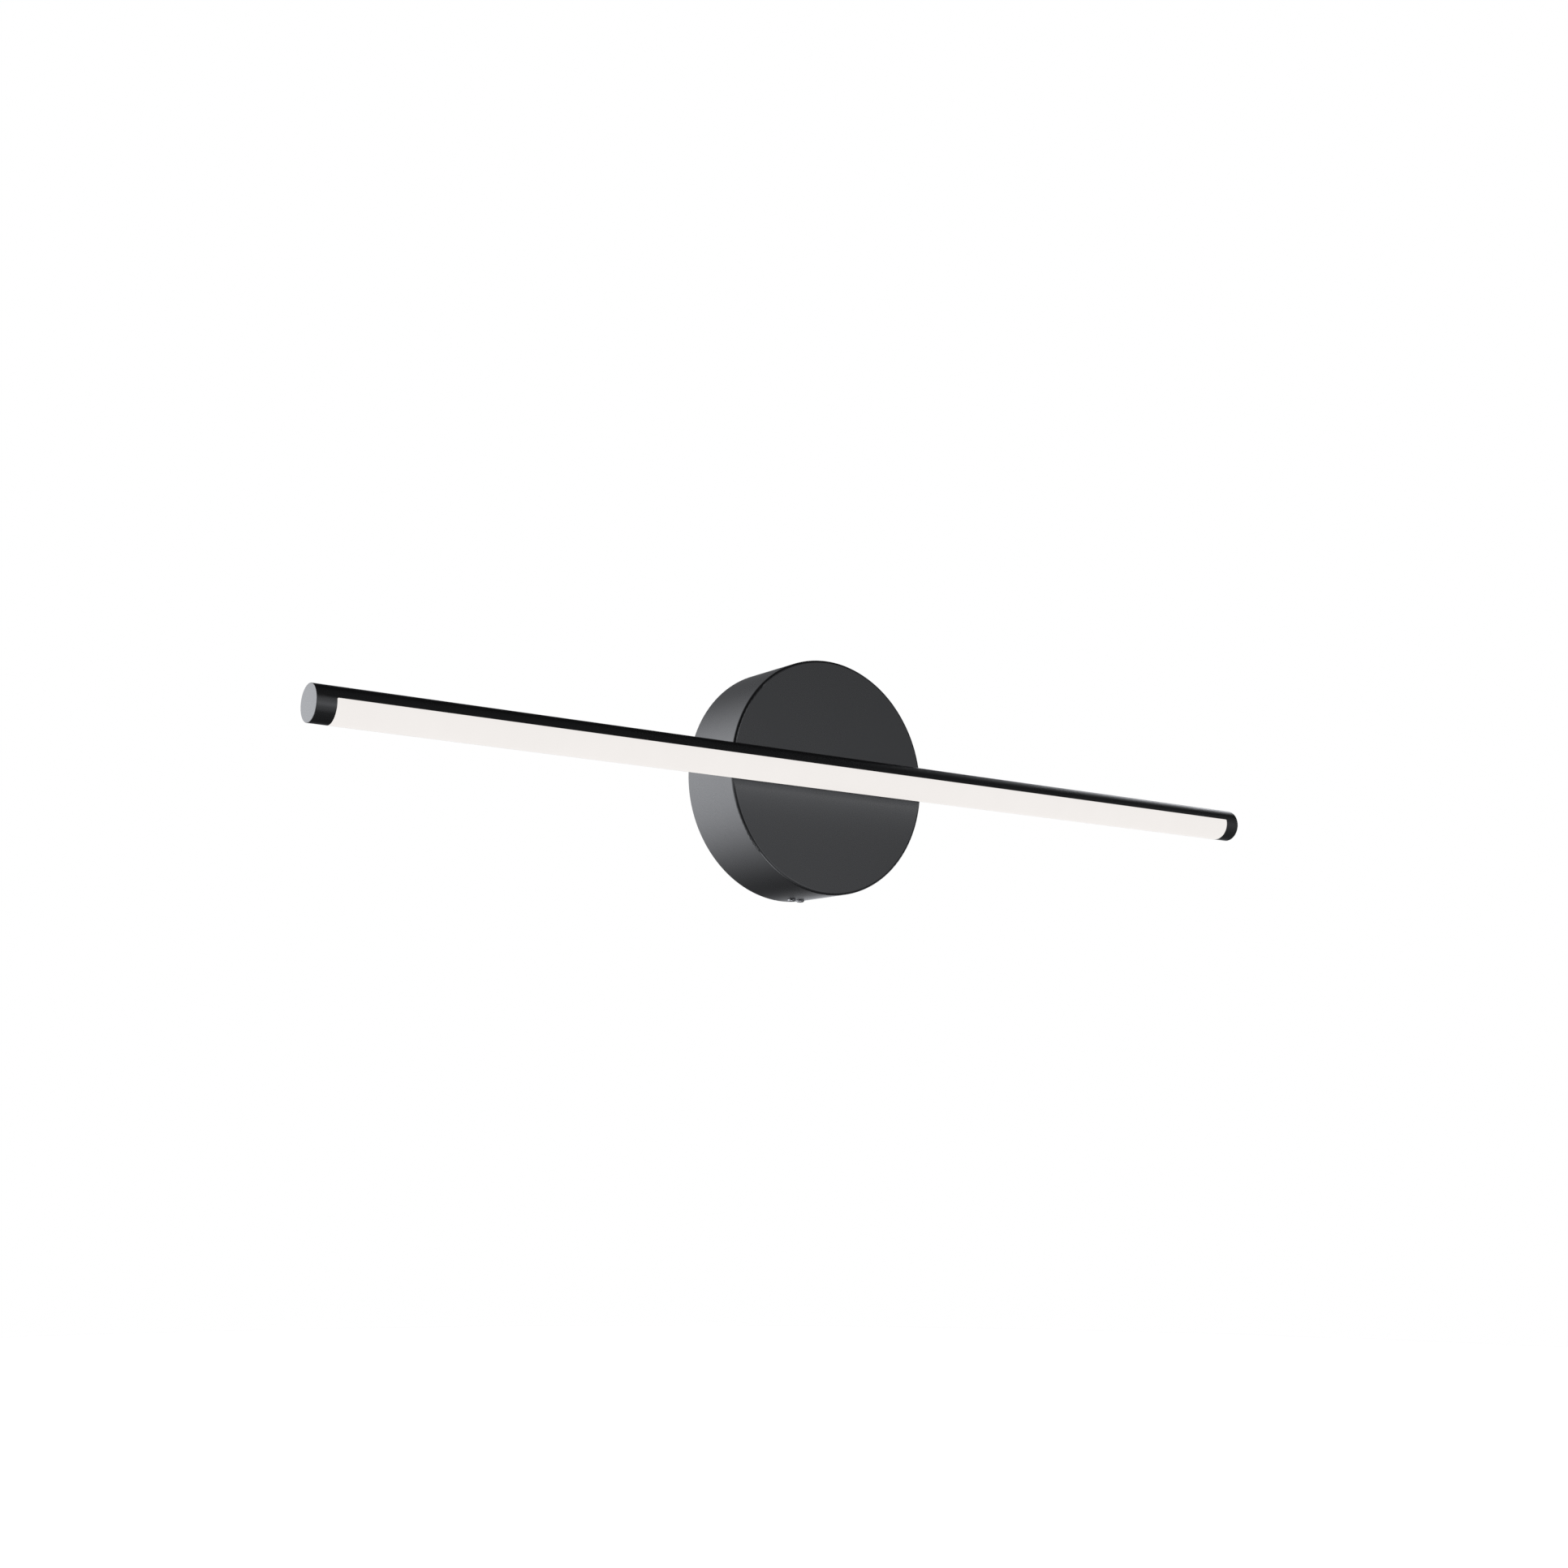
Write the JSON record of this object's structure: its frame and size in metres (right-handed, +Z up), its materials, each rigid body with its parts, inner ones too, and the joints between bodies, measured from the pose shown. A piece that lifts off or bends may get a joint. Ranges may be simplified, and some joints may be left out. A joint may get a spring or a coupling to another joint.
{
  "type": "vanity light bar",
  "caption": "Wall light bar: a long round LED tube with an opal front lens, carried close in front of a round drum canopy and tilting about its own axis.",
  "frame": {"origin": "centre of the canopy's rear face on the wall plane, which is the centre of the wall plate's box-screw slots", "axes": "+X along the bar, +Y into the wall, +Z up; the room is towards -Y"},
  "size_m": [0.6, 0.0602, 0.1281],
  "materials": {
    "black_paint": "satin black powder coat",
    "black_paint_bar": "satin black powder coat",
    "end_cap": "satin, same coat as the bar",
    "opal_lens": "opal, lit warm white",
    "screw_steel": "black oxide",
    "zinc_steel": "zinc plated",
    "spring_steel": "oiled spring steel",
    "black_plastic": "moulded",
    "black_nylon": "moulded nylon",
    "driver_plastic": "moulded",
    "circuit_board": "solder mask",
    "transformer_tape": "polyester tape",
    "capacitor_sleeve": "shrink sleeve",
    "white_plastic": "moulded nylon",
    "brass_screw": "plain",
    "tinned_brass": "tinned",
    "green_screw": "green zinc",
    "green_insulation": "pvc",
    "black_insulation": "pvc",
    "white_insulation": "pvc",
    "red_insulation": "pvc",
    "mill_aluminium": "mill finish extrusion",
    "tape_grey": "filled silicone tape",
    "white_solder_mask": "white solder mask",
    "led_phosphor": "phosphor"
  },
  "bodies": {
    "base": {"canopy_shell": "black_paint", "canopy_screws": "screw_steel", "wall_plate": "zinc_steel", "stem": "zinc_steel", "backing_washer": "zinc_steel", "spring_washer": "spring_steel", "stem_nut": "zinc_steel", "stem_bushing": "black_plastic", "saddle": "black_nylon", "pivot_shoe": "zinc_steel", "driver_case": "driver_plastic", "driver_lid": "driver_plastic", "driver_board": "circuit_board", "driver_transformer": "transformer_tape", "driver_capacitors": "capacitor_sleeve", "driver_screws": "zinc_steel", "terminal_block": "white_plastic", "terminal_screws": "brass_screw", "terminal_fixing_screw": "zinc_steel", "ring_terminal": "tinned_brass", "ground_screw": "green_screw", "ground_lead": "green_insulation", "line_lead": "black_insulation", "neutral_lead": "white_insulation", "output_lead_positive": "red_insulation", "output_lead_negative": "black_insulation"},
    "light_bar": {"bar_tube": "black_paint_bar", "diffuser": "opal_lens", "end_cap_left": "end_cap", "end_cap_right": "end_cap", "led_carrier": "mill_aluminium", "carrier_clips": "white_plastic", "thermal_tape": "tape_grey", "led_board": "white_solder_mask", "led_chips": "led_phosphor", "board_connector": "white_plastic", "board_lead_positive": "red_insulation", "board_lead_negative": "black_insulation"}
  },
  "joints": [
    {"name": "bar_tilt", "type": "hinge", "parent": "base", "child": "light_bar", "pos_m": [0, -0.0511, 0], "axis": [-1, 0, 0], "range_deg": [-30, 45]}
  ]
}
